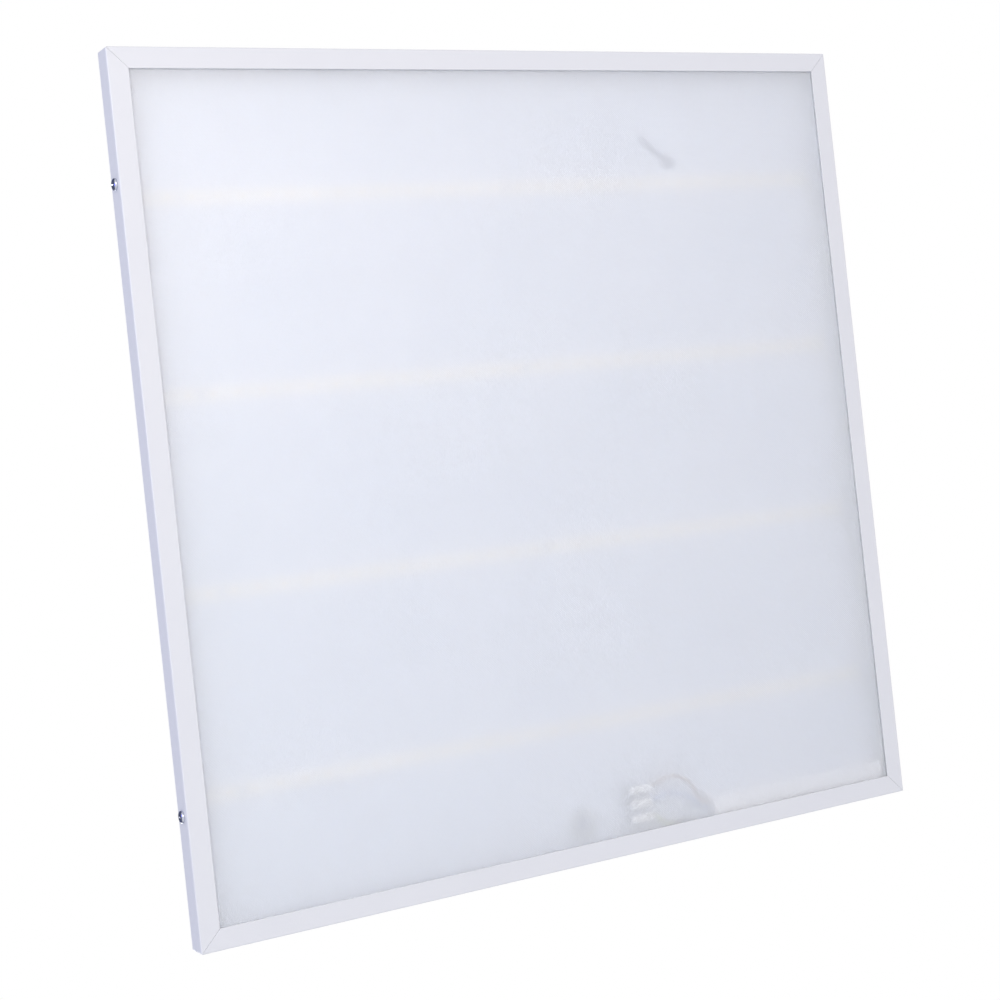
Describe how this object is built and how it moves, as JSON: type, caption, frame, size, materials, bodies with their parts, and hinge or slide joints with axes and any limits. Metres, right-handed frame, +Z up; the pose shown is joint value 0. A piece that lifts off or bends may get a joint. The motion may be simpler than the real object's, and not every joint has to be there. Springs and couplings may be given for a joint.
{
  "type": "recessed troffer light",
  "caption": "Slim square LED ceiling panel: mitred white frame, prismatic diffuser that slides out behind a screwed end rail, pressed tray with lamp boards, driver and terminal block.",
  "frame": {"origin": "Centre of the lit face, in the plane that rests on the ceiling grid bars.", "axes": "+Z up into the ceiling void, the light leaves along -Z. +X is the open end, where the end rail comes off and the diffuser slides out. -Y is the side that holds the driver and the terminal block."},
  "size_m": [0.5974, 0.595, 0.019],
  "materials": {
    "frame_white": "white powder coat, satin",
    "tray_white": "white powder coat, matt, reflective inside",
    "diffuser": "prismatic polystyrene, translucent, fine texture",
    "zinc_steel": "zinc plated",
    "board_white": "white solder mask on aluminium",
    "led_chip": "white package with yellow phosphor",
    "connector_white": "moulded, smooth",
    "driver_white": "moulded, fine spark texture",
    "board_green": "green solder mask",
    "ferrite": "dull ferrite with yellow tape",
    "can_black": "shrink sleeve",
    "epoxy_black": "moulded epoxy",
    "fuse_brown": "glazed",
    "terminal_white": "moulded polyamide",
    "brass": "machined",
    "tinned_copper": "tinned",
    "grommet_black": "moulded rubber",
    "clip_white": "moulded nylon",
    "lead_brown": "extruded insulation",
    "lead_blue": "extruded insulation",
    "lead_green_yellow": "extruded insulation, green with a yellow stripe",
    "lead_white": "extruded insulation"
  },
  "bodies": {
    "housing": {"back_tray": "tray_white", "block_screws": "zinc_steel", "board_connectors": "connector_white", "board_screws": "zinc_steel", "cable_grommet": "grommet_black", "clamp_screws": "zinc_steel", "closed_end_rail": "frame_white", "driver_base": "driver_white", "driver_board": "board_green", "driver_capacitors": "can_black", "driver_choke": "ferrite", "driver_cover": "driver_white", "driver_fuse": "fuse_brown", "driver_rectifier": "epoxy_black", "driver_screws": "zinc_steel", "driver_side_rail": "frame_white", "driver_transformer": "ferrite", "earth_lead": "lead_green_yellow", "earth_lug": "tinned_copper", "earth_nut": "zinc_steel", "earth_screw": "zinc_steel", "earth_washer": "zinc_steel", "far_side_rail": "frame_white", "jumper_lead_1_2": "lead_white", "jumper_lead_2_3": "lead_white", "jumper_lead_3_4": "lead_white", "lead_clips": "clip_white", "led_board_1": "board_white", "led_board_2": "board_white", "led_board_3": "board_white", "led_board_4": "board_white", "led_chips_1": "led_chip", "led_chips_2": "led_chip", "led_chips_3": "led_chip", "led_chips_4": "led_chip", "live_lead": "lead_brown", "neutral_lead": "lead_blue", "output_lead_negative": "lead_white", "output_lead_positive": "lead_white", "rail_screws": "zinc_steel", "terminal_block": "terminal_white", "terminal_clamps": "brass"},
    "diffuser": {"diffuser": "diffuser"},
    "end_rail": {"end_rail": "frame_white"},
    "end_screw_near": {"end_rail_screw_near": "zinc_steel"},
    "end_screw_far": {"end_rail_screw_far": "zinc_steel"}
  },
  "joints": [
    {"name": "diffuser_slide", "type": "slide", "parent": "housing", "child": "diffuser", "axis": [1, 0, 0], "range_m": [0, 0.6]},
    {"name": "end_rail_pull", "type": "slide", "parent": "diffuser", "child": "end_rail", "axis": [1, 0, 0], "range_m": [0, 0.06]},
    {"name": "near_screw_withdraw", "type": "slide", "parent": "end_rail", "child": "end_screw_near", "axis": [1, 0, 0], "range_m": [0, 0.012]},
    {"name": "far_screw_withdraw", "type": "slide", "parent": "end_rail", "child": "end_screw_far", "axis": [1, 0, 0], "range_m": [0, 0.012]}
  ]
}
